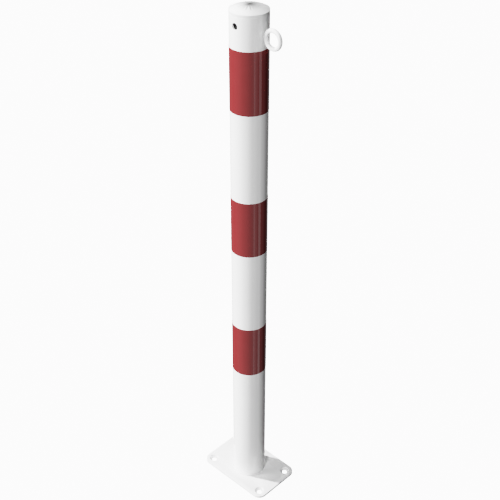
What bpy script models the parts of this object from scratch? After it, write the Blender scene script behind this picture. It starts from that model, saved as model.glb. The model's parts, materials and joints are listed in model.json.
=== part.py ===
"""Bolt-down barrier post with a chain eye, in metres, +Z up.

The origin is the bottom centre of the base plate. +X runs along the plate's long
side, towards the chain eye. The post is a steel tube that stands in the plate's
central hole and is welded to it from below. It wears three bands of reflective film.
A moulded cap presses into its top, and an eye bolt goes through its wall to a nut
inside.
"""

import math

import bmesh
import bpy
from mathutils import Matrix, Vector

MM = 0.001
GAP = 0.3 * MM              # clearance kept between neighbouring pieces

# Base plate
PLATE_LENGTH = 150 * MM
PLATE_WIDTH = 100 * MM
PLATE_THICKNESS = 5 * MM
PLATE_CORNER_RADIUS = 15 * MM
SCREW_HOLE_DIAMETER = 9 * MM
COUNTERSINK_DIAMETER = 16.4 * MM   # at the plate's top face, with a 90 degree cone
SCREW_HOLE_INSET = 15 * MM  # from both edges to the hole's centre
TUBE_FOOT = 2 * MM          # the tube's end stands this far above the plate's underside
WELD_LEG = 2.3 * MM
WELD_THROAT = 0.45          # middle of the bead's face, as a share of each leg

# Tube and bands
TUBE_DIAMETER = 60 * MM
TUBE_WALL = 2.5 * MM
TUBE_HEIGHT = 900 * MM      # above the plate's top face
BAND_HEIGHT = 100 * MM
BAND_PITCH = 250 * MM       # one red band and the white stretch under it
LOWEST_BAND = 250 * MM      # plate's top face to the lowest band
FILM_GAP = 0.25 * MM
FILM_THICKNESS = 0.25 * MM

# End cap
CAP_RIM_HEIGHT = 4 * MM     # tube's top edge to the foot of the dome
CAP_EDGE_RADIUS = 0.5 * MM
CAP_DOME_RISE = 6.5 * MM
CAP_SHELL = 2.5 * MM
CAP_MARK_RADIUS = 3 * MM
CAP_MARK_FLOOR = 0.6        # flat bottom of the mark, as a share of its radius
CAP_MARK_DEPTH = 0.7 * MM
SPIGOT_DEPTH = 9 * MM
SPIGOT_RADIUS = 25 * MM
SPIGOT_WALL = 2 * MM
FIN_COUNT = 3
FIN_TOP = 0.9 * MM          # tube's top edge down to the first fin
FIN_PITCH = 2.7 * MM
FIN_THICKNESS = 0.9 * MM
FIN_SLOPE = 0.3 * MM        # how much thicker a fin is at its root, on each side

# Chain eye and its fasteners, on a horizontal axis along +X
EYE_BELOW_TUBE_TOP = 30.5 * MM
EYE_OUTER_DIAMETER = 34 * MM
EYE_WIRE_DIAMETER = 7 * MM
EYE_SUNK = 0.3 * MM         # how far the ring dips into the mouth of its hole
SHANK_DIAMETER = 8 * MM
NECK_DIAMETER = 4.4 * MM
SHANK_HOLE_DIAMETER = 8.7 * MM
SPARE_HOLE_DIAMETER = 10.5 * MM
SPARE_HOLE_BELOW_TUBE_TOP = 15 * MM
SADDLE_DIAMETER = 18 * MM
SADDLE_THICKNESS = 3 * MM
SPRING_WASHER_DIAMETER = 14.8 * MM
SPRING_WASHER_THICKNESS = 2 * MM
SPRING_WASHER_SLIT = math.radians(14)
NUT_ACROSS_FLATS = 13 * MM
NUT_THICKNESS = 6.5 * MM
FASTENER_BORE_DIAMETER = SHANK_DIAMETER + 2 * GAP
THREAD_BEYOND_NUT = 3.5 * MM

# Facets on round pieces
TUBE_SEGMENTS = 64
CAP_SEGMENTS = 48
HOLE_SEGMENTS = 24
FASTENER_SEGMENTS = 24
CORNER_SEGMENTS = 6

# Worked out from the driving dimensions
PLATE_TOP = PLATE_THICKNESS
TUBE_RADIUS = TUBE_DIAMETER / 2
BORE_RADIUS = TUBE_RADIUS - TUBE_WALL
TUBE_TOP = PLATE_TOP + TUBE_HEIGHT
EYE_HEIGHT = TUBE_TOP - EYE_BELOW_TUBE_TOP
SPARE_HOLE_HEIGHT = TUBE_TOP - SPARE_HOLE_BELOW_TUBE_TOP
SADDLE_OUTER = BORE_RADIUS - GAP
SADDLE_INNER = SADDLE_OUTER - SADDLE_THICKNESS
SPRING_WASHER_OUTER = SADDLE_INNER - GAP
SPRING_WASHER_INNER = SPRING_WASHER_OUTER - SPRING_WASHER_THICKNESS
NUT_OUTER = SPRING_WASHER_INNER - GAP
NUT_INNER = NUT_OUTER - NUT_THICKNESS
SHANK_END = NUT_INNER - THREAD_BEYOND_NUT


def clear_scene():
    for item in list(bpy.data.objects):
        bpy.data.objects.remove(item, do_unlink=True)


def make_material(name, colour, roughness, metallic=0.0):
    mat = bpy.data.materials.new(name)
    mat.use_nodes = True
    shader = mat.node_tree.nodes["Principled BSDF"]
    shader.inputs["Base Color"].default_value = (*colour, 1.0)
    shader.inputs["Roughness"].default_value = roughness
    shader.inputs["Metallic"].default_value = metallic
    return mat


def add_object(name, bm, mat, location=(0, 0, 0)):
    """Turn a bmesh, built around its own origin, into a smooth-shaded object."""
    bmesh.ops.recalc_face_normals(bm, faces=bm.faces)
    mesh = bpy.data.meshes.new(name)
    bm.to_mesh(mesh)
    bm.free()
    mesh.shade_smooth()
    mesh.set_sharp_from_angle(angle=math.radians(32))
    item = bpy.data.objects.new(name, mesh)
    item.location = location
    bpy.context.collection.objects.link(item)
    if mat:
        mesh.materials.append(mat)
    return item


def turned(profile, segments, closed=True, axis="Z"):
    """Spin an (r, height) profile about its axis; an open one ends on the axis."""
    bm = bmesh.new()
    verts = [bm.verts.new((r, 0, h)) for r, h in profile]
    edges = [bm.edges.new(pair) for pair in zip(verts, verts[1:])]
    if closed:
        edges.append(bm.edges.new((verts[-1], verts[0])))
    bmesh.ops.spin(bm, geom=verts + edges, cent=(0, 0, 0), axis=(0, 0, 1),
                   angle=2 * math.pi, steps=segments, use_merge=True)
    bmesh.ops.remove_doubles(bm, verts=bm.verts, dist=0.001 * MM)
    if axis == "X":
        bm.transform(Matrix.Rotation(math.pi / 2, 4, "Y"))
    return bm


def rod(radius, start, end, segments, axis="Z"):
    """A plain cylinder along an axis, from start to end."""
    return turned([(0, start), (radius, start), (radius, end), (0, end)],
                  segments, closed=False, axis=axis)


def arc(centre, radius, first, last, steps):
    """Points on an arc, its angles in radians from the first axis."""
    angles = [first + (last - first) * k / steps for k in range(steps + 1)]
    return [(centre[0] + radius * math.cos(a), centre[1] + radius * math.sin(a))
            for a in angles]


def combine(target, bm, operation, location=(0, 0, 0)):
    """Cut, join or trim a target with a helper shape that isn't a piece itself."""
    helper = add_object(target.name + "_" + operation.lower(), bm, None, location)
    helper.hide_render = True
    helper.display_type = "WIRE"
    boolean = target.modifiers.new(operation.title(), "BOOLEAN")
    boolean.operation = operation
    boolean.solver = "EXACT"
    boolean.object = helper


def make_base_plate(mat):
    """Rounded rectangle with four countersunk holes and a hole that the tube stands in."""
    half = Vector((PLATE_LENGTH / 2, PLATE_WIDTH / 2))
    bm = bmesh.new()
    outline = []
    for quarter in range(4):
        start = quarter * math.pi / 2
        side_x = 1 if quarter in (0, 3) else -1
        side_y = 1 if quarter in (0, 1) else -1
        centre = (side_x * (half.x - PLATE_CORNER_RADIUS),
                  side_y * (half.y - PLATE_CORNER_RADIUS))
        outline += arc(centre, PLATE_CORNER_RADIUS, start, start + math.pi / 2, CORNER_SEGMENTS)
    face = bm.faces.new([bm.verts.new((x, y, 0)) for x, y in outline])
    raised = bmesh.ops.extrude_face_region(bm, geom=[face])["geom"]
    top = [part for part in raised if isinstance(part, bmesh.types.BMVert)]
    bmesh.ops.translate(bm, verts=top, vec=(0, 0, PLATE_THICKNESS))
    plate = add_object("base_plate", bm, mat)

    past = 2 * MM
    narrow = SCREW_HOLE_DIAMETER / 2
    wide = COUNTERSINK_DIAMETER / 2
    screw_hole = [(0, -past), (narrow, -past), (narrow, PLATE_TOP - (wide - narrow)),
                  (wide, PLATE_TOP), (wide, PLATE_TOP + past), (0, PLATE_TOP + past)]
    for side_x in (-1, 1):
        for side_y in (-1, 1):
            hole = turned(screw_hole, HOLE_SEGMENTS, closed=False)
            place = (side_x * (half.x - SCREW_HOLE_INSET), side_y * (half.y - SCREW_HOLE_INSET), 0)
            combine(plate, hole, "DIFFERENCE", place)
    socket = rod(TUBE_RADIUS + GAP, -past, PLATE_TOP + past, TUBE_SEGMENTS)
    combine(plate, socket, "DIFFERENCE")


def make_base_weld(mat):
    """Fillet bead under the tube's end, in the plate's hole and clear of the ground."""
    top = TUBE_FOOT - GAP
    height = top - GAP
    outer = TUBE_RADIUS
    profile = [(outer, top), (outer - WELD_LEG, top),
               (outer - WELD_THROAT * WELD_LEG, top - WELD_THROAT * height),
               (outer, top - height)]
    add_object("base_weld", turned(profile, TUBE_SEGMENTS), mat)


def make_post_tube(mat):
    """Open tube with a hole for the eye bolt, and a spare one a quarter turn round."""
    profile = [(BORE_RADIUS, TUBE_FOOT), (TUBE_RADIUS, TUBE_FOOT), (TUBE_RADIUS, TUBE_TOP),
               (BORE_RADIUS, TUBE_TOP)]
    tube = add_object("post_tube", turned(profile, TUBE_SEGMENTS), mat)
    past = 5 * MM
    start = BORE_RADIUS - past
    end = TUBE_RADIUS + past
    shank_hole = rod(SHANK_HOLE_DIAMETER / 2, start, end, HOLE_SEGMENTS, "X")
    combine(tube, shank_hole, "DIFFERENCE", (0, 0, EYE_HEIGHT))
    spare = rod(SPARE_HOLE_DIAMETER / 2, start, end, HOLE_SEGMENTS, "X")
    spare.transform(Matrix.Rotation(-math.pi / 2, 4, "Z"))
    combine(tube, spare, "DIFFERENCE", (0, 0, SPARE_HOLE_HEIGHT))


def make_bands(mat):
    """Three sleeves of reflective film around the tube."""
    inner = TUBE_RADIUS + FILM_GAP
    outer = inner + FILM_THICKNESS
    for step, name in enumerate(("red_band_lower", "red_band_middle", "red_band_upper")):
        low = PLATE_TOP + LOWEST_BAND + step * BAND_PITCH
        high = low + BAND_HEIGHT
        profile = [(inner, low), (outer, low), (outer, high), (inner, high)]
        add_object(name, turned(profile, TUBE_SEGMENTS), mat)


def dome_points(rim_radius, rise, steps, shell=0.0):
    """A spherical dome from its top out to its rim, thinned by the shell."""
    sphere = (rim_radius ** 2 + rise ** 2) / (2 * rise)
    centre = (0, rise - sphere)
    reach = math.asin((rim_radius - shell) / sphere)
    return arc(centre, sphere - shell, math.pi / 2, math.pi / 2 - reach, steps)


def make_end_cap(mat):
    """Domed cap with a finned spigot; heights count from the tube's top edge."""
    dome_base = CAP_RIM_HEIGHT
    dome = [(r, h + dome_base) for r, h in
            dome_points(TUBE_RADIUS - CAP_EDGE_RADIUS, CAP_DOME_RISE, 8)]
    mark_floor = dome[0][1] - CAP_MARK_DEPTH
    mark = [(0, mark_floor), (CAP_MARK_FLOOR * CAP_MARK_RADIUS, mark_floor),
            (CAP_MARK_RADIUS, dome[0][1])]
    edge = arc((TUBE_RADIUS - CAP_EDGE_RADIUS, dome_base - CAP_EDGE_RADIUS),
               CAP_EDGE_RADIUS, math.pi / 3, 0, 2)

    fin_radius = BORE_RADIUS - GAP
    spigot = [(TUBE_RADIUS, GAP), (SPIGOT_RADIUS, GAP)]
    for fin in range(FIN_COUNT):
        top = -FIN_TOP - fin * FIN_PITCH
        spigot += [(SPIGOT_RADIUS, top + FIN_SLOPE), (fin_radius, top),
                   (fin_radius, top - FIN_THICKNESS),
                   (SPIGOT_RADIUS, top - FIN_THICKNESS - FIN_SLOPE)]
    inside = SPIGOT_RADIUS - SPIGOT_WALL
    spigot += [(SPIGOT_RADIUS, -SPIGOT_DEPTH), (inside, -SPIGOT_DEPTH)]

    under = [(r, h + dome_base) for r, h in
             dome_points(TUBE_RADIUS - CAP_EDGE_RADIUS, CAP_DOME_RISE, 8, CAP_SHELL)]
    under = [point for point in under if point[0] < inside - MM]
    under.reverse()
    profile = mark + dome[2:] + edge + spigot + [(inside, under[0][1] - MM)] + under
    cap = turned(profile, CAP_SEGMENTS, closed=False)
    add_object("end_cap", cap, mat, (0, 0, TUBE_TOP))


def make_chain_eye(mat):
    """Round eye fused to the end of a shank, built around the shank's own axis."""
    wire = EYE_WIRE_DIAMETER / 2
    loop = EYE_OUTER_DIAMETER / 2 - wire
    centre_x = TUBE_RADIUS - EYE_SUNK + EYE_OUTER_DIAMETER / 2
    section = arc((loop, 0), wire, 0, 2 * math.pi, 12)[:-1]
    bm = turned(section, 40)
    bm.transform(Matrix.Translation((centre_x, 0, 0)) @ Matrix.Rotation(math.pi / 2, 4, "X"))
    eye = add_object("chain_eye", bm, mat, (0, 0, EYE_HEIGHT))

    shank = SHANK_DIAMETER / 2
    neck = NECK_DIAMETER / 2
    chamfer = 0.8 * MM
    shoulder = TUBE_RADIUS - EYE_SUNK
    fused = centre_x - loop
    profile = [(0, SHANK_END), (shank - chamfer, SHANK_END), (shank, SHANK_END + chamfer),
               (shank, shoulder), (neck, shoulder + GAP), (neck, fused), (0, fused)]
    bolt = turned(profile, FASTENER_SEGMENTS, closed=False, axis="X")
    combine(eye, bolt, "UNION", (0, 0, EYE_HEIGHT))


def make_saddle_washer(mat):
    """Thick washer with a curved face that fits the tube's bore."""
    past = 2 * MM
    profile = [(FASTENER_BORE_DIAMETER / 2, SADDLE_INNER), (SADDLE_DIAMETER / 2, SADDLE_INNER),
               (SADDLE_DIAMETER / 2, SADDLE_OUTER + past),
               (FASTENER_BORE_DIAMETER / 2, SADDLE_OUTER + past)]
    washer = add_object("eye_saddle_washer", turned(profile, FASTENER_SEGMENTS, axis="X"),
                        mat, (0, 0, EYE_HEIGHT))
    bore = rod(SADDLE_OUTER, -SADDLE_DIAMETER, SADDLE_DIAMETER, TUBE_SEGMENTS)
    combine(washer, bore, "INTERSECT", (0, 0, EYE_HEIGHT))


def make_spring_washer(mat):
    """Square-section ring with a slit, between the saddle washer and the nut."""
    inner = FASTENER_BORE_DIAMETER / 2
    outer = SPRING_WASHER_DIAMETER / 2
    bm = bmesh.new()
    sweep = 2 * math.pi - SPRING_WASHER_SLIT
    rings = []
    for k in range(FASTENER_SEGMENTS + 1):
        angle = SPRING_WASHER_SLIT / 2 + sweep * k / FASTENER_SEGMENTS
        corners = [(inner, SPRING_WASHER_INNER), (outer, SPRING_WASHER_INNER),
                   (outer, SPRING_WASHER_OUTER), (inner, SPRING_WASHER_OUTER)]
        rings.append([bm.verts.new((x, r * math.cos(angle), r * math.sin(angle)))
                      for r, x in corners])
    for ring, following in zip(rings, rings[1:]):
        for a in range(4):
            b = (a + 1) % 4
            bm.faces.new((ring[a], ring[b], following[b], following[a]))
    bm.faces.new(rings[0])
    bm.faces.new(rings[-1])
    add_object("eye_spring_washer", bm, mat, (0, 0, EYE_HEIGHT))


def make_nut(mat):
    """Hexagon nut with its corners chamfered by a turned barrel."""
    across_corners = NUT_ACROSS_FLATS / math.cos(math.pi / 6)
    hexagon = rod(across_corners / 2, NUT_INNER, NUT_OUTER, 6, "X")
    nut = add_object("eye_nut", hexagon, mat, (0, 0, EYE_HEIGHT))
    face = NUT_ACROSS_FLATS / 2 - 0.2 * MM
    wide = across_corners / 2 + MM
    slope = (wide - face) * math.tan(math.radians(30))
    barrel = turned([(0, NUT_INNER), (face, NUT_INNER), (wide, NUT_INNER + slope),
                     (wide, NUT_OUTER - slope), (face, NUT_OUTER), (0, NUT_OUTER)],
                    FASTENER_SEGMENTS, closed=False, axis="X")
    combine(nut, barrel, "INTERSECT", (0, 0, EYE_HEIGHT))
    bore = rod(FASTENER_BORE_DIAMETER / 2, NUT_INNER - MM, NUT_OUTER + MM,
               FASTENER_SEGMENTS, "X")
    combine(nut, bore, "DIFFERENCE", (0, 0, EYE_HEIGHT))


def main():
    clear_scene()
    white_coat = make_material("white_powder_coat", (0.83, 0.83, 0.83), 0.08)
    red_film = make_material("red_reflective_film", (0.16, 0.027, 0.028), 0.08)
    cap_plastic = make_material("white_cap_plastic", (0.83, 0.83, 0.83), 0.16)
    zinc = make_material("zinc_plated_steel", (0.6, 0.61, 0.62), 0.35, 1.0)

    make_base_plate(white_coat)
    make_base_weld(white_coat)
    make_post_tube(white_coat)
    make_bands(red_film)
    make_end_cap(cap_plastic)
    make_chain_eye(white_coat)
    make_saddle_washer(zinc)
    make_spring_washer(zinc)
    make_nut(zinc)


main()
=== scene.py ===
"""Looks of the bolt-down barrier post: fine meshes and materials around the CAD frame."""
import json
import math

import bmesh
import bpy
from mathutils import Matrix, Vector


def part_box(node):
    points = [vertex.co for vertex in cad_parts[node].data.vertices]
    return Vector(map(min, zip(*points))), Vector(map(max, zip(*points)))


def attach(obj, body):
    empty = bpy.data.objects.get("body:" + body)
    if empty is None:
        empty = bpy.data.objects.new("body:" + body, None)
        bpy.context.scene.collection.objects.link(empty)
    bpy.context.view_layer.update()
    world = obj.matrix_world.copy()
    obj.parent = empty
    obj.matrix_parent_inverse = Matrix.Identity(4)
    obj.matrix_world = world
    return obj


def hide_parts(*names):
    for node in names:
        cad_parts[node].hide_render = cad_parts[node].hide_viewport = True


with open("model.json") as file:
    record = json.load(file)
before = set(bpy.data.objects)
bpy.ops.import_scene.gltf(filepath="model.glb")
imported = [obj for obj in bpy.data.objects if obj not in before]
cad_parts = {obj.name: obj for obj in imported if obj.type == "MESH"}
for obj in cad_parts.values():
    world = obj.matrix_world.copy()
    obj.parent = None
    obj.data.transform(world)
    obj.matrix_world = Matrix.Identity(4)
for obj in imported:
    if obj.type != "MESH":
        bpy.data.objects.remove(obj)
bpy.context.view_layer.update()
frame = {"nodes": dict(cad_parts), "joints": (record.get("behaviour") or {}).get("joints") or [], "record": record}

MM = 0.001
TAU = 2 * math.pi

# ---------------------------------------------------------------- sizes that the frame's boxes don't give

SEAM_CLEARANCE = 0.06 * MM  # between pieces that touch on the real object
MERGE_DISTANCE = 0.0005 * MM

PLATE_CORNER_RADIUS = 15 * MM
PLATE_EDGE_ROUNDING = 0.5 * MM
SOCKET_ROUNDING = 0.2       # at the tube's socket, as a share of the plate's edge rounding
SCREW_HOLE_ROUNDING = 0.5   # at the screw holes, likewise
SCREW_HOLE_RADIUS = 4.5 * MM
COUNTERSINK_RADIUS = 8.2 * MM

TUBE_WALL = 2.5 * MM
TUBE_EDGE_ROUNDING = 0.35 * MM
SPARE_HOLE_RADIUS = 5.25 * MM
HOLE_RIM_ROUNDING = 0.3 * MM

WELD_LEG = TUBE_WALL - 0.2 * MM
WELD_FACE_POWER = 1.5       # 1 gives the bead a round face, 2 a flat one
WELD_RIPPLES = 150
WELD_RIPPLE_SWELL = 0.05    # how far a ripple stands out, as a share of the bead's size

FILM_THICKNESS = 0.22 * MM
FILM_EDGE_CHAMFER = 0.08 * MM
FILM_OVERLAP = 12 * MM
FILM_START = math.radians(160)

CAP_EDGE_RADIUS = 0.5 * MM
CAP_EDGE_START = 60         # degrees from level at which the rim's rounding leaves the dome
CAP_SEAT_ROUNDING = 0.15 * MM
CAP_RISE = 6.5 * MM
CAP_SHELL = 2.5 * MM
CEILING_CORNER_WIDTH = 0.5 * MM
CEILING_CORNER_DROP = 0.4 * MM
DOME_POWER = 2.5            # how full the dome is: its drop grows with this power of the radius
DOME_ROLL = 45              # tilt of the dome's shading at its rim, in degrees
DOME_ROLL_POWER = 0.57

SPIGOT_RADIUS = 25 * MM
SPIGOT_WALL = 2 * MM
SPIGOT_LIP_CHAMFER = 0.4 * MM
FIN_COUNT = 3
FIN_PITCH = 2.7 * MM
FIN_DEPTH = 0.9 * MM        # of the first fin's top below the tube's top
FIN_CLEARANCE = 0.15 * MM
FIN_TIP_CHAMFER = 0.25 * MM

MARK_REACH = 19.5 * MM
MARK_RAYS = 23
MARK_RAY_POWER = 1.3        # how narrow the rays are against the gaps between them
MARK_GAP_REACH = 0.48       # reach between two rays, as a share of a ray's
MARK_LONG_SIDE = math.radians(-46)   # the star's rays are longest towards here
MARK_LONG_SHARE = 0.12      # by how much they are longer
MARK_HALO = 0.2             # strength of the smooth painted shade round the star, which also deepens the grooves there
MARK_HALO_REACH = 26 * MM
MARK_DEPTH = 0.25 * MM
MARK_GAP_DEPTH = 0.4        # depth between two grooves, as a share of a groove's
# How much of the plastic's white the painted shade of the star leaves, by the star's strength
MARK_PAINTED_SHADE = [(0.0, 1.0), (0.05, 0.87), (0.12, 0.7), (0.3, 0.42), (0.5, 0.36), (0.7, 0.27),
              (0.85, 0.17), (1.0, 0.08)]

EYE_WIRE_DIAMETER = 7 * MM
SHANK_RADIUS = 4 * MM
SHANK_TIP_CHAMFER = 0.8 * MM
NECK_RADIUS = 2.2 * MM      # of the shank inside the ring's wire
NECK_GROOVE = 0.3 * MM      # depth and width of the neck's groove beside the shoulder
SHOULDER_EDGE = 0.1 * MM    # how far the shank's full radius ends before the shoulder
THREAD_PITCH = 1.25 * MM
THREAD_DEPTH = 0.68 * MM
THREAD_END = 24 * MM        # along X

# ---------------------------------------------------------------- mesh density

CORNER_STEPS = 16
COUNTERSINK_POINTS = 48
TUBE_COLUMNS = 128          # also the points of the plate's socket
PLAIN_ROWS = 10             # rows of cells below the drilled part of the tube
PATCH_CELLS = 6             # half the side of the square of cells around a wall hole
SPARE_ROWS = 11             # rows of cells between the eye's height and the spare hole's
HOLE_BLENDS = (0.3, 0.6, 0.85, 1)    # how round each ring of cells is, from the square in to the rim
ROUNDING_STEPS = 4
WELD_SEGMENTS = 900
WELD_FACE_STEPS = 8
FILM_COLUMNS = 140
CAP_SEGMENTS = 240
DOME_RINGS = 36
DOME_RING_POWER = 1.2       # above 1 crowds the rings towards the star
CEILING_RINGS = 10
RING_SEGMENTS = 96
WIRE_SEGMENTS = 32
SHANK_SEGMENTS = 48
THREAD_STEPS = 8            # rows of points in one turn of the thread

# ---------------------------------------------------------------- view and light

CAMERA_AZIMUTH = math.radians(44)
CAMERA_ELEVATION = math.radians(33.61)
CAMERA_DISTANCE = 1.5868
CAMERA_TARGET = Vector((0, 0, 0.4998))
CAMERA_LENS = 69.5
CAMERA_SHIFT = 0.0015

BACKGROUND_WHITE = 5.6
FLOOR_GLOW = 0.12
FLOOR_HALF_SIZE = 30
FLOOR_DROP = 0.2 * MM

LIGHT_DISTANCE = 12
LIGHT_TARGET = Vector((0, 0, 0.5))
# Name; side and elevation in degrees, the side counted from the camera's direction, right
# being plus; width and height in metres; power in watts
LIGHTS = [("key_high", -108, 57, 0.4, 0.4, 3100),
          ("key_low", -83, 4, 3.0, 1.5, 2950),
          ("front", -20, 33, 1.75, 1.75, 1265),
          ("back", 160, 0, 5.0, 2.5, 2200),
          ("below", 0, -90, 1.5, 1.5, 750)]

# Brightness of what the object mirrors, by degrees from the camera's direction, right being
# plus: the floor in directions well below the horizon, and the room in all others
REFLECTED_FLOOR = [(-180, 14), (-170, 12), (-160, 0.1), (-100, 0.02), (-80, 0.2),
                   (-55, 0.42), (-20, 0.58), (8, 0.65), (24, 0.75), (31, 1.55), (35, 0.9),
                   (48, 0.7), (54, 0.38), (59, 1.2), (72, 1.2), (75, 0.28), (90, 0.25),
                   (115, 0.03), (130, 0.2), (140, 0.5), (150, 0.2), (163, 2.3), (172, 2.0),
                   (180, 14)]
REFLECTED_ROOM = [(-180, 0.6), (-150, 2.0), (-110, 3.2), (-40, 2.8), (10, 2.0), (35, 0.2),
                  (150, 0.1), (180, 0.6)]
REFLECTION_SCALE = 16.0     # brings the brightnesses into a colour ramp's 0 to 1
FLOOR_ENDS = -0.3           # sine of the elevation where the floor starts to give way
ROOM_STARTS = -0.12         # and where only the room is left


# ---------------------------------------------------------------- the frame's sizes

def box_size(node):
    low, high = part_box(node)
    return low, high, high - low


def opening_centre(name):
    boxes = {entry["name"]: entry["box_m"] for entry in frame["record"]["physics"]["openings"]}
    low, high = (Vector(corner) for corner in boxes[name])
    return (low + high) / 2


plate_low, plate_high, plate_size = box_size("base_plate")
tube_low, tube_high, tube_size = box_size("post_tube")
cap_low, cap_high, cap_size = box_size("end_cap")
eye_low, eye_high, eye_size = box_size("chain_eye")
TUBE_RADIUS = tube_size.x / 2
BORE_RADIUS = TUBE_RADIUS - TUBE_WALL
TUBE_TOP = tube_high.z
PLATE_TOP = plate_high.z
EYE_HEIGHT = next(j for j in frame["joints"] if j["name"] == "eye_turn")["pos_m"][2]
EYE_CENTRE_X = eye_high.x - eye_size.z / 2
EYE_LOOP_RADIUS = eye_size.z / 2 - EYE_WIRE_DIAMETER / 2
SPARE_HEIGHT = opening_centre("spare_eye_hole").z
CAP_RADIUS = cap_size.x / 2
DOME_RADIUS = CAP_RADIUS - CAP_EDGE_RADIUS
DOME_FOOT = cap_high.z - CAP_RISE


# ---------------------------------------------------------------- mesh helpers

def finish_mesh(name, bm, material, body, replaced, sharp=40):
    """Turn the bmesh into a smooth-shaded piece that rides on a body."""
    bmesh.ops.remove_doubles(bm, verts=bm.verts, dist=MERGE_DISTANCE)
    bmesh.ops.recalc_face_normals(bm, faces=bm.faces)
    mesh = bpy.data.meshes.new(name)
    bm.to_mesh(mesh)
    bm.free()
    mesh.shade_smooth()
    mesh.set_sharp_from_angle(angle=math.radians(sharp))
    mesh.materials.append(material)
    piece = bpy.data.objects.new(name, mesh)
    bpy.context.scene.collection.objects.link(piece)
    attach(piece, body)
    if replaced:
        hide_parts(*replaced)
    return piece


def bridge(bm, ring_a, ring_b):
    """Quads between two closed rings of vertices of the same length."""
    count = len(ring_a)
    for k in range(count):
        nxt = (k + 1) % count
        bm.faces.new((ring_a[k], ring_a[nxt], ring_b[nxt], ring_b[k]))


def bridge_all(bm, rings):
    """Quads from each ring to the next."""
    for a, b in zip(rings, rings[1:]):
        bridge(bm, a, b)


def arc(centre, radius, first, last, steps):
    """Points of a flat arc, its ends in degrees."""
    angles = [math.radians(first + (last - first) * k / steps) for k in range(steps + 1)]
    return [(centre[0] + radius * math.cos(a), centre[1] + radius * math.sin(a)) for a in angles]


def clockwise_circle(centre, radius, count):
    return arc(centre, radius, 0, -360 * (count - 1) / count, count - 1)


def turned(profile, segments, shape, loop=True):
    """Rings of an (r, z) profile about Z; loop joins its ends, or else it ends on the axis.
    shape(r, z, angle) moves each point."""
    bm = bmesh.new()
    rings = []
    for r, z in profile:
        if r < 1e-9:
            rings.append([bm.verts.new((0, 0, shape(0, z, 0)[1]))])
            continue
        ring = []
        for k in range(segments):
            angle = TAU * k / segments
            rr, zz = shape(r, z, angle)
            ring.append(bm.verts.new((rr * math.cos(angle), rr * math.sin(angle), zz)))
        rings.append(ring)
    pairs = list(zip(rings, rings[1:]))
    if loop:
        pairs.append((rings[-1], rings[0]))
    for a, b in pairs:
        if len(a) == 1 or len(b) == 1:
            tip, ring = (a[0], b) if len(a) == 1 else (b[0], a)
            for k in range(segments):
                bm.faces.new((tip, ring[k], ring[(k + 1) % segments]))
        else:
            bridge(bm, a, b)
    return bm


# ---------------------------------------------------------------- node helpers

def new_material(name):
    material = bpy.data.materials.new(name)
    material.use_nodes = True
    return material, material.node_tree.nodes, material.node_tree.links


def grey(level):
    return (level, level, level, 1)


def feed(links, socket, value):
    """Link a node's output to a socket, or set the socket to a plain value."""
    if isinstance(value, bpy.types.NodeSocket):
        links.new(value, socket)
    else:
        socket.default_value = value


def noise_node(nodes, links, scale, detail):
    """Noise in object space, in features per metre."""
    coords = nodes.new("ShaderNodeTexCoord")
    noise = nodes.new("ShaderNodeTexNoise")
    noise.inputs["Scale"].default_value = scale
    noise.inputs["Detail"].default_value = detail
    links.new(coords.outputs["Object"], noise.inputs["Vector"])
    return noise.outputs["Fac"]


def map_range(nodes, links, source, low, high, from_low=0.3, from_high=0.7):
    """Stretch a source to another range; noise hardly leaves 0.3 to 0.7."""
    node = nodes.new("ShaderNodeMapRange")
    node.inputs["From Min"].default_value = from_low
    node.inputs["From Max"].default_value = from_high
    node.inputs["To Min"].default_value = low
    node.inputs["To Max"].default_value = high
    links.new(source, node.inputs["Value"])
    return node.outputs["Result"]


def colour_mix(nodes, links, factor, colour_a, colour_b, blend_type="MIX"):
    node = nodes.new("ShaderNodeMix")
    node.data_type = "RGBA"
    node.blend_type = blend_type
    feed(links, node.inputs["Factor"], factor)
    colours = [socket for socket in node.inputs if socket.type == "RGBA"]
    for socket, colour in zip(colours, (colour_a, colour_b)):
        feed(links, socket, colour)
    return next(socket for socket in node.outputs if socket.type == "RGBA")


def grey_ramp(nodes, links, factor, stops):
    """Grey by factor, from (factor, level) stops in rising order."""
    node = nodes.new("ShaderNodeValToRGB")
    links.new(factor, node.inputs["Fac"])
    elements = node.color_ramp.elements
    while len(elements) < len(stops):
        elements.new(0.5)
    for element, (place, level) in zip(elements, stops):
        element.position = place
        element.color = grey(level)
    return node.outputs["Color"]


def bump_node(nodes, links, height, distance):
    bump = nodes.new("ShaderNodeBump")
    bump.inputs["Distance"].default_value = distance
    links.new(height, bump.inputs["Height"])
    return bump.outputs["Normal"]


def math_node(nodes, links, operation, *values):
    node = nodes.new("ShaderNodeMath")
    node.operation = operation
    for socket, value in zip(node.inputs, values):
        feed(links, socket, value)
    return node.outputs["Value"]


def light_path(nodes, ray):
    return nodes.new("ShaderNodeLightPath").outputs[ray]


# ---------------------------------------------------------------- materials

def powder_coat():
    """Glossy white coat with a faint orange peel and slightly uneven gloss."""
    material, nodes, links = new_material("white_powder_coat")
    shader = nodes["Principled BSDF"]
    tone = noise_node(nodes, links, scale=18, detail=3)
    links.new(colour_mix(nodes, links, tone, grey(0.80), grey(0.84)), shader.inputs["Base Color"])
    gloss = noise_node(nodes, links, scale=45, detail=2)
    links.new(map_range(nodes, links, gloss, low=0.05, high=0.08), shader.inputs["Roughness"])
    peel = noise_node(nodes, links, scale=420, detail=1)
    links.new(bump_node(nodes, links, peel, distance=0.004 * MM), shader.inputs["Normal"])
    return material


def reflective_film():
    """Red film with a smooth, glossy face and a slightly uneven red."""
    material, nodes, links = new_material("red_reflective_film")
    shader = nodes["Principled BSDF"]
    tone = noise_node(nodes, links, scale=60, detail=3)
    links.new(colour_mix(nodes, links, tone, (0.150, 0.024, 0.025, 1), (0.160, 0.027, 0.028, 1)),
              shader.inputs["Base Color"])
    shader.inputs["Roughness"].default_value = 0.06
    return material


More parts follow.
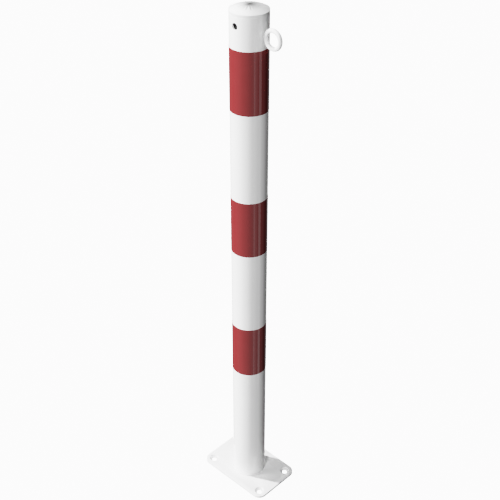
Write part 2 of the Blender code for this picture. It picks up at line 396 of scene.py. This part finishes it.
def cap_plastic():
    """Moulded white plastic, less glossy than the coat, with painted shade that turns it grey along the star."""
    material, nodes, links = new_material("white_cap_plastic")
    shader = nodes["Principled BSDF"]
    tone = noise_node(nodes, links, scale=25, detail=2)
    clean = colour_mix(nodes, links, tone, grey(0.81), grey(0.84))
    mark = nodes.new("ShaderNodeAttribute")
    mark.attribute_name = "mark"
    # Painted shade: the star's strength darkens the plastic's colour along the grooves and round them
    star_shade = grey_ramp(nodes, links, mark.outputs["Fac"], MARK_PAINTED_SHADE)
    links.new(colour_mix(nodes, links, 1, clean, star_shade, "MULTIPLY"), shader.inputs["Base Color"])
    shader.inputs["Roughness"].default_value = 0.16
    return material


def zinc_plate():
    """Bright zinc with a fine spangle in its colour and gloss."""
    material, nodes, links = new_material("zinc_plated_steel")
    shader = nodes["Principled BSDF"]
    spangle = noise_node(nodes, links, scale=300, detail=3)
    links.new(colour_mix(nodes, links, spangle, (0.50, 0.51, 0.53, 1), (0.68, 0.69, 0.70, 1)),
              shader.inputs["Base Color"])
    links.new(map_range(nodes, links, spangle, low=0.28, high=0.45), shader.inputs["Roughness"])
    shader.inputs["Metallic"].default_value = 1.0
    return material


# ---------------------------------------------------------------- plate, weld, tube and bands

def make_plate(material):
    """Rounded plate with four countersunk holes and the tube's socket, its edges rounded."""
    curve = bpy.data.curves.new("plate_outline", "CURVE")
    curve.dimensions = "2D"
    curve.fill_mode = "BOTH"
    curve.extrude = plate_size.z / 2 - PLATE_EDGE_ROUNDING
    curve.bevel_depth = PLATE_EDGE_ROUNDING
    curve.bevel_resolution = 3
    curve.offset = -PLATE_EDGE_ROUNDING

    def add_loop(points):
        spline = curve.splines.new("POLY")
        spline.points.add(len(points) - 1)
        for point, (x, y) in zip(spline.points, points):
            point.co = (x, y, 0, 1)
        spline.use_cyclic_u = True

    half_x = plate_size.x / 2 - PLATE_CORNER_RADIUS
    half_y = plate_size.y / 2 - PLATE_CORNER_RADIUS
    outline = []
    for quarter, (x, y) in enumerate(((half_x, half_y), (-half_x, half_y),
                                      (-half_x, -half_y), (half_x, -half_y))):
        outline += arc((x, y), PLATE_CORNER_RADIUS, 90 * quarter, 90 * quarter + 90, CORNER_STEPS)
    add_loop(outline)
    screw_holes = []
    for entry in frame["record"]["physics"]["openings"]:
        if entry["name"].startswith("screw_hole"):
            centre = opening_centre(entry["name"])
            screw_holes.append(centre.xy)
            add_loop(clockwise_circle(centre.xy, COUNTERSINK_RADIUS, COUNTERSINK_POINTS))
    socket = TUBE_RADIUS + SEAM_CLEARANCE
    add_loop(clockwise_circle((0, 0), socket, TUBE_COLUMNS))

    source = bpy.data.objects.new("plate_outline", curve)
    bpy.context.scene.collection.objects.link(source)
    source.location.z = (plate_low.z + plate_high.z) / 2
    bpy.context.view_layer.update()
    flat = bpy.data.meshes.new_from_object(source)
    bm = bmesh.new()
    bm.from_mesh(flat)
    bm.transform(source.matrix_world)
    bpy.data.objects.remove(source)

    def reshape(vert, centre, radius, new_radius, rounding):
        """Give a hole's wall a new radius and its rounded edges a smaller rounding."""
        offset = vert.co.xy - centre
        out = offset.length
        vert.co.xy = centre + offset * ((new_radius + (out - radius) * rounding) / out)
        for face in (plate_low.z, plate_high.z):
            if abs(vert.co.z - face) < 1.01 * PLATE_EDGE_ROUNDING:
                vert.co.z = face + (vert.co.z - face) * rounding

    # A cut across the walls at the foot of the countersinks' 45 degree cones
    cone_foot = PLATE_TOP - (COUNTERSINK_RADIUS - SCREW_HOLE_RADIUS)
    bmesh.ops.bisect_plane(bm, geom=bm.verts[:] + bm.edges[:] + bm.faces[:], dist=0.001 * MM,
                           plane_co=(0, 0, cone_foot), plane_no=(0, 0, 1))
    edge_reach = 1.5 * PLATE_EDGE_ROUNDING
    for vert in bm.verts:
        if vert.co.xy.length < socket + edge_reach:
            reshape(vert, Vector((0, 0)), socket, socket, SOCKET_ROUNDING)
        for centre in screw_holes:
            if (vert.co.xy - centre).length < COUNTERSINK_RADIUS + edge_reach:
                narrow = vert.co.z < cone_foot + 0.1 * MM
                reshape(vert, centre, COUNTERSINK_RADIUS,
                        SCREW_HOLE_RADIUS if narrow else COUNTERSINK_RADIUS, SCREW_HOLE_ROUNDING)
    finish_mesh("plate", bm, material, "post", ["base_plate"])


def make_weld(material):
    """Rippled fillet bead under the tube's end, in the plate's socket."""
    low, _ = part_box("base_weld")
    top = tube_low.z - SEAM_CLEARANCE
    height = top - low.z

    def shape(r, z, angle):
        into, down = TUBE_RADIUS - r, top - z
        on_face = into > 0 and down > 0
        swell = 1 + WELD_RIPPLE_SWELL * math.cos(WELD_RIPPLES * angle) * on_face
        return TUBE_RADIUS - into * swell, top - down * swell

    angles = [math.pi / 2 * k / WELD_FACE_STEPS for k in range(WELD_FACE_STEPS + 1)]
    face = [(TUBE_RADIUS - WELD_LEG * math.cos(a) ** WELD_FACE_POWER,
             top - height * math.sin(a) ** WELD_FACE_POWER) for a in angles]
    bm = turned([(TUBE_RADIUS, top)] + face, WELD_SEGMENTS, shape)
    finish_mesh("weld_bead", bm, material, "post", ["base_weld"], 60)


def make_tube(material):
    """Tube wall as two grids of cells, with a ring of cells around each drilled hole."""
    bm = bmesh.new()
    step = TAU / TUBE_COLUMNS
    row_height = (SPARE_HEIGHT - EYE_HEIGHT) / SPARE_ROWS
    low = tube_low.z
    e = TUBE_EDGE_ROUNDING
    first = EYE_HEIGHT - PATCH_CELLS * row_height
    plain = [low + (first - low) * k / PLAIN_ROWS for k in range(PLAIN_ROWS)]
    fine = [first + row_height * k for k in range(SPARE_ROWS + 2 * PATCH_CELLS + 1)]
    heights = plain + fine + [(fine[-1] + TUBE_TOP - e) / 2, TUBE_TOP - e]
    eye_row = PLAIN_ROWS + PATCH_CELLS
    holes = ((0, eye_row, EYE_HEIGHT, SHANK_RADIUS + SEAM_CLEARANCE),
             (-TUBE_COLUMNS // 4, eye_row + SPARE_ROWS, SPARE_HEIGHT, SPARE_HOLE_RADIUS))

    def inside(column, row):
        """Whether a grid point lies in the square that is left out around a hole."""
        for hole_column, hole_row, _, _ in holes:
            across = (column - hole_column + TUBE_COLUMNS // 2) % TUBE_COLUMNS - TUBE_COLUMNS // 2
            if abs(across) < PATCH_CELLS and abs(row - hole_row) < PATCH_CELLS:
                return True
        return False

    def level_ring(radius, z):
        return [bm.verts.new((radius * math.cos(k * step), radius * math.sin(k * step), z))
                for k in range(TUBE_COLUMNS)]

    def wall(radius):
        verts = {}
        for row, z in enumerate(heights):
            for column in range(TUBE_COLUMNS):
                if not inside(column, row):
                    a = column * step
                    verts[column, row] = bm.verts.new((radius * math.cos(a), radius * math.sin(a), z))
        for row in range(len(heights) - 1):
            for column in range(TUBE_COLUMNS):
                nxt = (column + 1) % TUBE_COLUMNS
                corners = [(column, row), (nxt, row), (nxt, row + 1), (column, row + 1)]
                if all(c in verts for c in corners):
                    bm.faces.new([verts[c] for c in corners])
        return verts

    def hole_border(hole_column, hole_row):
        n = PATCH_CELLS
        path = [(n, k) for k in range(-n, n)] + [(-k, n) for k in range(-n, n)]
        path += [(-n, -k) for k in range(-n, n)] + [(k, -n) for k in range(-n, n)]
        return [((hole_column + c) % TUBE_COLUMNS, hole_row + r) for c, r in path]

    def hole_rings(verts, radius, hole, rim):
        """Rings from the square border in to the round rim, then over the rim's rounding."""
        hole_column, hole_row, height, hole_radius = hole
        turn = Matrix.Rotation(hole_column * step, 3, "Z")
        border = [verts[key] for key in hole_border(hole_column, hole_row)]
        flat = [(turn.inverted() @ v.co).yz - Vector((0, height)) for v in border]
        rings = [border]
        bends = [(hole_radius + rim, 0, blend) for blend in HOLE_BLENDS]
        if rim:
            angles = [math.pi / 2 * k / ROUNDING_STEPS for k in range(1, ROUNDING_STEPS + 1)]
            bends += [(hole_radius + rim * (1 - math.sin(b)), rim * (1 - math.cos(b)), 1)
                      for b in angles]
        for reach, depth, blend in bends:
            ring = []
            for point in flat:
                spot = point.lerp(point.normalized() * reach, blend)
                x = math.sqrt(radius ** 2 - spot.x ** 2) - depth
                ring.append(bm.verts.new(turn @ Vector((x, spot.x, height + spot.y))))
            rings.append(ring)
        bridge_all(bm, rings)
        return rings[-1]

    outer = wall(TUBE_RADIUS)
    inner = wall(BORE_RADIUS)
    for hole in holes:
        bridge(bm, hole_rings(outer, TUBE_RADIUS, hole, HOLE_RIM_ROUNDING),
               hole_rings(inner, BORE_RADIUS, hole, 0))
    last = len(heights) - 1
    edge = arc((TUBE_RADIUS - e, TUBE_TOP - e), e, 0, 90, ROUNDING_STEPS)[1:]
    edge += arc((BORE_RADIUS + e, TUBE_TOP - e), e, 90, 180, ROUNDING_STEPS)[:-1]
    rings = [[outer[k, last] for k in range(TUBE_COLUMNS)]]
    rings += [level_ring(r, z) for r, z in edge]
    rings.append([inner[k, last] for k in range(TUBE_COLUMNS)])
    bridge_all(bm, rings)
    bridge(bm, [outer[k, 0] for k in range(TUBE_COLUMNS)], [inner[k, 0] for k in range(TUBE_COLUMNS)])
    finish_mesh("tube", bm, material, "post", ["post_tube"])


def make_band(node, material):
    """A strip of film wound once round the tube, its end lapped over its start at the back."""
    low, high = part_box(node)
    bm = bmesh.new()
    lap = FILM_OVERLAP / TUBE_RADIUS
    inner = TUBE_RADIUS + SEAM_CLEARANCE
    outer = inner + FILM_THICKNESS
    cut = FILM_EDGE_CHAMFER
    section = [(inner, low.z), (outer - cut, low.z), (outer, low.z + cut),
               (outer, high.z - cut), (outer - cut, high.z), (inner, high.z)]
    rings = []
    for k in range(FILM_COLUMNS + 1):
        turned_by = (TAU + lap) * k / FILM_COLUMNS
        lift = min(max((turned_by - TAU + lap) / lap, 0), 1)
        lift = lift * lift * (3 - 2 * lift) * (FILM_THICKNESS + SEAM_CLEARANCE)
        a = FILM_START + turned_by
        rings.append([bm.verts.new(((r + lift) * math.cos(a), (r + lift) * math.sin(a), z))
                      for r, z in section])
    bridge_all(bm, rings)
    bm.faces.new(rings[0])
    bm.faces.new(rings[-1])
    finish_mesh(node + "_film", bm, material, "post", [node], 30)


# ---------------------------------------------------------------- cap

def cap_mark(x, y):
    """The star at the cap's gate: its ray at this angle, and its strength here, 0 to 1, which sets the grooves'
    depth and the painted shade.
    """
    angle = math.atan2(y, x)
    # Two slow waves space the rays unevenly
    wander = 2.1 * math.sin(2 * angle) + 1.3 * math.sin(5 * angle + 1)
    ray = (0.5 + 0.5 * math.cos(MARK_RAYS * angle + wander)) ** MARK_RAY_POWER
    reach = MARK_REACH * (1 + MARK_LONG_SHARE * math.cos(angle - MARK_LONG_SIDE))
    reach *= MARK_GAP_REACH + (1 - MARK_GAP_REACH) * ray
    out = math.hypot(x, y)
    # The halo spreads the star's painted shade and its grooves in a smooth fringe
    halo = MARK_HALO * max(0, 1 - out / MARK_HALO_REACH)
    return ray, min(1, max(0, 1 - out / reach) + halo)


def dome_z(r):
    return cap_high.z - CAP_RISE * (r / DOME_RADIUS) ** DOME_POWER


def on_dome(r, z):
    return abs(z - dome_z(r)) < MARK_DEPTH + 0.01 * MM


def fin_outline(top):
    """One fin's points from its upper root, over its chamfered tip, to its lower root."""
    tip = BORE_RADIUS - FIN_CLEARANCE
    return [(SPIGOT_RADIUS, top + 0.5 * MM), (tip - FIN_TIP_CHAMFER, top), (tip, top - 0.2 * MM),
            (tip, top - 0.7 * MM), (tip - FIN_TIP_CHAMFER, top - 0.9 * MM),
            (SPIGOT_RADIUS, top - 1.1 * MM)]


def cap_profile():
    """The cap's outline from the top of its dome, round its rim and spigot, to its ceiling."""
    radii = [DOME_RADIUS * (k / DOME_RINGS) ** DOME_RING_POWER for k in range(DOME_RINGS + 1)]
    profile = [(r, dome_z(r)) for r in radii]
    profile += arc((DOME_RADIUS, DOME_FOOT - CAP_EDGE_RADIUS), CAP_EDGE_RADIUS, CAP_EDGE_START, 0, 5)
    seat = TUBE_TOP + SEAM_CLEARANCE
    profile += arc((CAP_RADIUS - CAP_SEAT_ROUNDING, seat + CAP_SEAT_ROUNDING),
                   CAP_SEAT_ROUNDING, 0, -90, 3)
    profile += [(SPIGOT_RADIUS, seat)]
    for k in range(FIN_COUNT):
        profile += fin_outline(TUBE_TOP - FIN_DEPTH - k * FIN_PITCH)
    bore = SPIGOT_RADIUS - SPIGOT_WALL
    profile += [(SPIGOT_RADIUS, cap_low.z + SPIGOT_LIP_CHAMFER),
                (SPIGOT_RADIUS - SPIGOT_LIP_CHAMFER, cap_low.z), (bore, cap_low.z)]
    radii = [DOME_RADIUS * k / CEILING_RINGS for k in range(CEILING_RINGS + 1)]
    ceiling = [(r, dome_z(r) - CAP_SHELL) for r in radii if r < bore - CEILING_CORNER_WIDTH]
    return profile + [(bore, ceiling[-1][1] - CEILING_CORNER_DROP)] + ceiling[::-1]


def roll_dome_shading(mesh):
    """Shade the dome as if it were fuller, rolling over towards its rim."""
    normals = []
    for loop, corner in zip(mesh.loops, mesh.corner_normals):
        x, y, z = mesh.vertices[loop.vertex_index].co
        out = math.hypot(x, y)
        if z < DOME_FOOT - 0.001 * MM or not on_dome(out, z) or corner.vector.z < 0.5:
            normals.append((0, 0, 0))   # keeps the corner's own normal
            continue
        outward = Vector((x, y, 0)) / max(out, 1e-9)
        share = out / DOME_RADIUS
        full = math.radians(DOME_ROLL) * share ** DOME_ROLL_POWER
        plain = math.atan(CAP_RISE * DOME_POWER / DOME_RADIUS * share ** (DOME_POWER - 1))
        change = outward * (math.sin(full) - math.sin(plain))
        change.z = math.cos(full) - math.cos(plain)
        normals.append((corner.vector + change).normalized())
    mesh.normals_split_custom_set(normals)


def make_cap(material):
    """Domed cap with a rim, a finned spigot and a star of shallow grooves at its gate."""
    def shape(r, z, angle):
        if z < DOME_FOOT or not on_dome(r, z):
            return r, z
        ray, strength = cap_mark(r * math.cos(angle), r * math.sin(angle))
        return r, z - MARK_DEPTH * strength * (MARK_GAP_DEPTH + (1 - MARK_GAP_DEPTH) * ray)

    bm = turned(cap_profile(), CAP_SEGMENTS, shape, loop=False)
    mesh = finish_mesh("cap", bm, material, "cap", ["end_cap"]).data
    # Each point keeps the star's strength, which the plastic turns into painted shade
    mark = mesh.attributes.new("mark", "FLOAT", "POINT")
    for vert in mesh.vertices:
        x, y, z = vert.co
        if z > DOME_FOOT and on_dome(math.hypot(x, y), z):
            mark.data[vert.index].value = cap_mark(x, y)[1]
    roll_dome_shading(mesh)


# ---------------------------------------------------------------- eye

def make_eye_ring(material):
    """Round ring of wire in the XZ plane."""
    wire = EYE_WIRE_DIAMETER / 2
    bm = bmesh.new()
    rings = []
    for k in range(RING_SEGMENTS):
        a = TAU * k / RING_SEGMENTS
        out = Vector((math.cos(a), 0, math.sin(a)))
        hub = Vector((EYE_CENTRE_X + EYE_LOOP_RADIUS * math.cos(a), 0,
                      EYE_HEIGHT + EYE_LOOP_RADIUS * math.sin(a)))
        rings.append([bm.verts.new(hub + wire * (out * math.cos(b) + Vector((0, 1, 0)) * math.sin(b)))
                      for b in (TAU * j / WIRE_SEGMENTS for j in range(WIRE_SEGMENTS))])
    bridge_all(bm, rings + rings[:1])
    finish_mesh("eye_ring", bm, material, "eye", ["chain_eye"], 50)


def make_eye_shank(material):
    """Shank with a threaded end, a flat shoulder against the ring and a neck fused into it."""
    start = eye_low.x
    shoulder = eye_high.x - eye_size.z
    row_step = THREAD_PITCH / THREAD_STEPS
    rows = []
    x = start
    while x < THREAD_END:
        rows.append(x)
        x += row_step
    rows += [THREAD_END, shoulder - NECK_GROOVE, shoulder - SHOULDER_EDGE, shoulder,
             shoulder + NECK_GROOVE, EYE_CENTRE_X - EYE_LOOP_RADIUS]
    bm = bmesh.new()
    rings = []
    for x in rows:
        ring = []
        for j in range(SHANK_SEGMENTS):
            a = TAU * j / SHANK_SEGMENTS
            radius = SHANK_RADIUS if x < shoulder else NECK_RADIUS
            if x == shoulder:
                radius -= NECK_GROOVE
            if x < THREAD_END:
                phase = ((x - start) / THREAD_PITCH + j / SHANK_SEGMENTS) % 1
                fade = min(1, (THREAD_END - x) / THREAD_PITCH)
                radius -= THREAD_DEPTH * abs(2 * phase - 1) * fade
                radius = min(radius, SHANK_RADIUS - SHANK_TIP_CHAMFER + (x - start))
            ring.append(bm.verts.new((x, radius * math.cos(a), EYE_HEIGHT + radius * math.sin(a))))
        rings.append(ring)
    bridge_all(bm, rings)
    bm.faces.new(rings[0])
    bm.faces.new(rings[-1])
    finish_mesh("eye_shank", bm, material, "eye", (), 50)


# ---------------------------------------------------------------- stage, light, camera

def place_around(thing, target, distance, azimuth, elevation):
    """Put a camera or light at a direction from its target, azimuth 0 being -Y, facing it."""
    back = Vector((math.sin(azimuth) * math.cos(elevation),
                   -math.cos(azimuth) * math.cos(elevation), math.sin(elevation)))
    thing.location = target + back * distance
    thing.rotation_mode = "QUATERNION"
    thing.rotation_quaternion = (-back).to_track_quat("-Z", "Y")
    bpy.context.scene.collection.objects.link(thing)


def make_camera():
    data = bpy.data.cameras.new("camera")
    data.lens = CAMERA_LENS
    data.shift_x = CAMERA_SHIFT
    camera = bpy.data.objects.new("camera", data)
    place_around(camera, CAMERA_TARGET, CAMERA_DISTANCE, CAMERA_AZIMUTH, CAMERA_ELEVATION)
    bpy.context.scene.camera = camera


def make_floor():
    """White sheet: a bright background to the camera, a soft glow from below to the object.
    From underneath it is clear, so that the plate's underside shows."""
    bm = bmesh.new()
    bmesh.ops.create_grid(bm, x_segments=1, y_segments=1, size=FLOOR_HALF_SIZE)
    mesh = bpy.data.meshes.new("floor")
    bm.to_mesh(mesh)
    bm.free()
    material, nodes, links = new_material("floor")
    nodes.remove(nodes["Principled BSDF"])
    glow = nodes.new("ShaderNodeEmission")
    extra = math_node(nodes, links, "MULTIPLY", light_path(nodes, "Is Camera Ray"),
                      BACKGROUND_WHITE - FLOOR_GLOW)
    links.new(math_node(nodes, links, "ADD", extra, FLOOR_GLOW), glow.inputs["Strength"])
    mix = nodes.new("ShaderNodeMixShader")
    links.new(nodes.new("ShaderNodeNewGeometry").outputs["Backfacing"], mix.inputs["Fac"])
    links.new(glow.outputs["Emission"], mix.inputs[1])
    links.new(nodes.new("ShaderNodeBsdfTransparent").outputs["BSDF"], mix.inputs[2])
    links.new(mix.outputs["Shader"], nodes["Material Output"].inputs["Surface"])
    mesh.materials.append(material)
    floor = bpy.data.objects.new("floor", mesh)
    floor.location.z = -FLOOR_DROP
    floor.visible_glossy = False
    floor.visible_shadow = False
    bpy.context.scene.collection.objects.link(floor)


def area_light(name, side, elevation, width, height, power):
    """A soft box that lights without showing in reflections."""
    data = bpy.data.lights.new(name, "AREA")
    data.shape = "RECTANGLE"
    data.size = width
    data.size_y = height
    data.energy = power
    light = bpy.data.objects.new(name, data)
    light.visible_camera = False
    light.visible_glossy = False
    place_around(light, LIGHT_TARGET, LIGHT_DISTANCE, CAMERA_AZIMUTH + math.radians(side),
                 math.radians(elevation))


def make_world():
    """White to the camera. Reflections see the brightness of the floor or the room instead,
    by direction, and no light comes from it otherwise."""
    world = bpy.data.worlds.new("world")
    world.use_nodes = True
    nodes, links = world.node_tree.nodes, world.node_tree.links
    background = nodes["Background"]
    background.inputs["Color"].default_value = grey(1)
    split = nodes.new("ShaderNodeSeparateXYZ")
    links.new(nodes.new("ShaderNodeTexCoord").outputs["Generated"], split.inputs["Vector"])
    front = math_node(nodes, links, "MULTIPLY", split.outputs["Y"], -1.0)
    azimuth = math_node(nodes, links, "ARCTAN2", split.outputs["X"], front)
    turns = math_node(nodes, links, "MULTIPLY_ADD", azimuth, 1 / TAU, 0.5 - CAMERA_AZIMUTH / TAU)
    factor = math_node(nodes, links, "FRACT", turns)

    def brightness(stops):
        return grey_ramp(nodes, links, factor, [(degrees / 360 + 0.5, strength / REFLECTION_SCALE)
                                                for degrees, strength in stops])

    height = map_range(nodes, links, split.outputs["Z"], 0.0, 1.0, FLOOR_ENDS, ROOM_STARTS)
    level = colour_mix(nodes, links, height, brightness(REFLECTED_FLOOR), brightness(REFLECTED_ROOM))
    shown = math_node(nodes, links, "MULTIPLY", level, REFLECTION_SCALE)
    glossy = math_node(nodes, links, "MULTIPLY", shown, light_path(nodes, "Is Glossy Ray"))
    seen = math_node(nodes, links, "MULTIPLY", light_path(nodes, "Is Camera Ray"), BACKGROUND_WHITE)
    links.new(math_node(nodes, links, "ADD", glossy, seen), background.inputs["Strength"])
    bpy.context.scene.world = world


# ---------------------------------------------------------------- the whole scene

white_coat = powder_coat()
red_film = reflective_film()
white_plastic = cap_plastic()
zinc = zinc_plate()

make_plate(white_coat)
make_weld(white_coat)
make_tube(white_coat)
for band in ("red_band_lower", "red_band_middle", "red_band_upper"):
    make_band(band, red_film)
make_cap(white_plastic)
make_eye_ring(white_coat)
make_eye_shank(white_coat)
for node in ("eye_saddle_washer", "eye_spring_washer", "eye_nut"):
    frame["nodes"][node].data.materials.clear()
    frame["nodes"][node].data.materials.append(zinc)

make_camera()
make_floor()
make_world()
for light in LIGHTS:
    area_light(*light)
bpy.context.scene.view_settings.view_transform = "Filmic"
bpy.context.scene.view_settings.look = "High Contrast"
